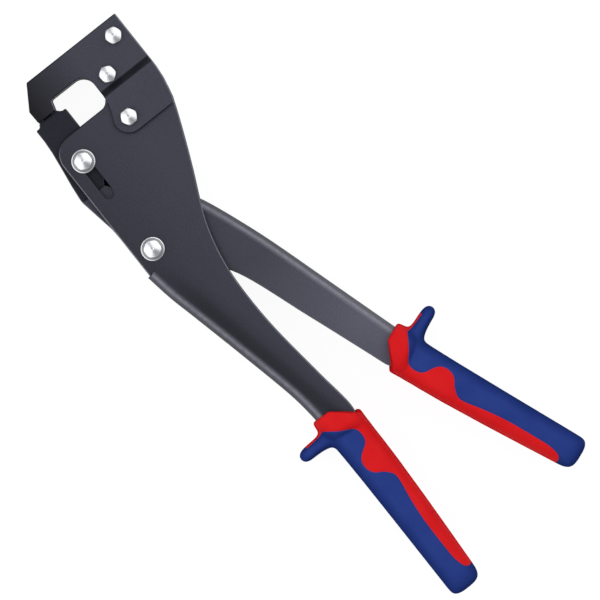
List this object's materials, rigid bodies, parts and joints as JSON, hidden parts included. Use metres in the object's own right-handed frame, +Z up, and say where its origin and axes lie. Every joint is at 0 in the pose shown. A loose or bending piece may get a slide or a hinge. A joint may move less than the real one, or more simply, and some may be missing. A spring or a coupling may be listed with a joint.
{
  "type": "sheet metal joining pliers",
  "caption": "Two-handed punch-and-fold pliers for sheet-metal sections: plate head with a throat, guided punch slide, knee lever and folded handles with two-component grips.",
  "frame": {"origin": "middle of the base of the tool's bounding box as it lies flat on its rear nuts and grip collars, jaws closed", "axes": "+Y along the punch axis towards the head, +X from the punch towards the throat and the moving handle, +Z up out of the front plate, along every pivot"},
  "size_m": [0.124, 0.3402, 0.0342],
  "materials": {
    "sheet_steel": "dark phosphated, satin, with brighter bends and cut edges",
    "dark_steel": "hardened and blackened, satin",
    "zinc": "bright zinc plated",
    "red_plastic": "fine grained, semi-matt",
    "blue_plastic": "soft-touch, matt"
  },
  "bodies": {
    "root": {"fixed_handle_shell": "sheet_steel", "head_plate_front": "sheet_steel", "head_plate_rear": "sheet_steel", "die_block": "dark_steel", "head_bolt_1": "zinc", "head_bolt_2": "zinc", "head_bolt_3": "zinc", "head_nut_1": "zinc", "head_nut_2": "zinc", "head_nut_3": "zinc", "head_sleeve": "zinc", "pivot_bolt": "zinc", "pivot_nut": "zinc", "pivot_sleeve": "dark_steel", "pivot_washer_front": "zinc", "pivot_washer_rear": "zinc", "fixed_grip_core": "red_plastic", "fixed_grip_cover": "blue_plastic"},
    "moving_handle": {"moving_handle_shell": "sheet_steel", "knee_pin": "dark_steel", "moving_grip_core": "red_plastic", "moving_grip_cover": "blue_plastic"},
    "slide": {"slide_block": "dark_steel", "punch": "dark_steel", "punch_screw": "zinc", "slide_bolt": "zinc", "slide_nut": "zinc", "slide_sleeve": "dark_steel", "slide_washer_front": "zinc", "slide_washer_rear": "zinc"},
    "link": {"toggle_link": "dark_steel"}
  },
  "joints": [
    {"name": "handle_pivot", "type": "hinge", "parent": "root", "child": "moving_handle", "pos_m": [-0.0483, 0.0639, 0.0166], "axis": [0, 0, 1], "range_deg": [0, 31.3]},
    {"name": "jaw_slide", "type": "slide", "parent": "root", "child": "slide", "axis": [0, 1, 0], "range_m": [-0.02, 0]},
    {"name": "link_pivot", "type": "hinge", "parent": "slide", "child": "link", "pos_m": [-0.0483, 0.1208, 0.0166], "axis": [0, 0, 1], "range_deg": [-42.75, 0]}
  ],
  "couplings": [
    {"joint": "jaw_slide", "follows": "handle_pivot", "m_per_rad": -0.0366},
    {"joint": "link_pivot", "follows": "handle_pivot", "ratio": -1.364}
  ]
}
